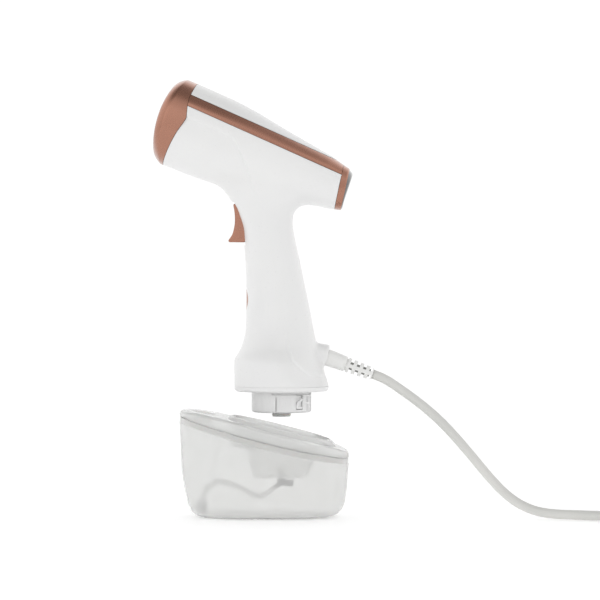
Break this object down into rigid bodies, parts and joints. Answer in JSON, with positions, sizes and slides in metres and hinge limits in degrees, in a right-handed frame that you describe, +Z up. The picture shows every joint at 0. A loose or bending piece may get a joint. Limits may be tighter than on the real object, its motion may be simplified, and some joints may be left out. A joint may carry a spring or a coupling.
{
  "type": "garment steamer",
  "caption": "Handheld garment steamer with an angled steam head, finger trigger and mains cord, held above its clip-on translucent water tank.",
  "frame": {"origin": "on the table, under the middle of the handset and tank together", "axes": "+Z up, -X the way the steam head points, +X the side the cord leaves, Y across the handset"},
  "size_m": [0.4924, 0.1077, 0.3402],
  "materials": {
    "white_plastic": "glossy white moulded plastic",
    "rose_gold": "satin rose gold plating",
    "dark_lens": "dark glossy window",
    "dark_plastic": "black switch plastic",
    "frosted_plastic": "milky translucent plastic",
    "steel": "bright steel",
    "aluminium": "die-cast",
    "rubber": "matt black rubber",
    "silicone": "translucent silicone",
    "cord_plastic": "light grey flexible PVC",
    "circuit_board": "green solder mask",
    "brass": "nickelled brass",
    "nylon": "natural nylon"
  },
  "bodies": {
    "tank": {"tank_body": "frosted_plastic", "tank_lid": "frosted_plastic", "lid_seal": "silicone", "socket_cup": "frosted_plastic", "socket_seal": "silicone", "valve_spring": "steel", "hose_fitting": "dark_plastic", "pickup_hose": "silicone", "filter_weight": "steel", "cord": "cord_plastic", "cord_coil": "cord_plastic", "coil_tie": "rubber", "plug_body": "cord_plastic", "plug_pin_1": "brass", "plug_pin_2": "brass"},
    "handset": {"front_bezel": "rose_gold", "top_cover": "white_plastic", "left_trim": "rose_gold", "right_trim": "rose_gold", "rear_ring": "rose_gold", "rear_lens": "dark_lens", "steam_plate": "steel", "plate_gasket": "silicone", "boiler": "aluminium", "boiler_cover": "aluminium", "heating_element": "steel", "thermostat": "steel", "thermal_fuse": "steel", "heat_shield": "aluminium", "control_board": "circuit_board", "indicator_led": "silicone", "left_shell": "white_plastic", "right_shell": "white_plastic", "upper_shell_screw": "steel", "lower_shell_screw": "steel", "trigger_pin": "steel", "trigger_spring": "steel", "trigger_switch": "dark_plastic", "button_spring": "steel", "power_switch": "dark_plastic", "pump": "nylon", "lower_pump_mount": "rubber", "upper_pump_mount": "rubber", "water_hose": "silicone", "feed_hose": "silicone", "strain_relief": "cord_plastic", "cord_clamp": "nylon", "base_plate": "white_plastic", "base_screw_1": "steel", "base_screw_2": "steel", "base_screw_3": "steel", "base_screw_4": "steel", "connector": "white_plastic", "connector_seal": "silicone", "inlet_nozzle": "white_plastic"},
    "trigger": {"trigger": "rose_gold"},
    "power_button": {"power_button": "rose_gold"},
    "latch_hook": {"latch_hook": "white_plastic"},
    "tank_valve": {"tank_valve": "nylon"},
    "filler_plug": {"filler_plug": "silicone"}
  },
  "joints": [
    {"name": "dock_slide", "type": "slide", "parent": "tank", "child": "handset", "axis": [0, 0, 1], "range_m": [-0.04, 0], "deforming": ["cord"]},
    {"name": "trigger_pull", "type": "hinge", "parent": "handset", "child": "trigger", "pos_m": [-0.0054, 0, 0.2405], "axis": [0, -1, 0], "range_deg": [0, 7], "stiffness_Nm_per_rad": 0.05, "springref_deg": -5.73, "deforming": ["trigger_spring"]},
    {"name": "power_press", "type": "slide", "parent": "handset", "child": "power_button", "axis": [1, 0, 0], "range_m": [0, 0.0016], "stiffness_N_per_m": 400, "springref_m": -0.001, "deforming": ["button_spring"]},
    {"name": "latch_flex", "type": "hinge", "parent": "handset", "child": "latch_hook", "pos_m": [0.03561, -0.01589, 0.0949], "axis": [0.7547, 0.6561, 0], "range_deg": [0, 5], "stiffness_Nm_per_rad": 0.05, "springref_deg": -5.73},
    {"name": "valve_press", "type": "slide", "parent": "tank", "child": "tank_valve", "axis": [0, 0, -1], "range_m": [0, 0.0025], "stiffness_N_per_m": 300, "springref_m": -0.002, "deforming": ["valve_spring"]},
    {"name": "filler_lift", "type": "slide", "parent": "tank", "child": "filler_plug", "axis": [0.1822, 0, 0.9833], "range_m": [0, 0.012]}
  ]
}
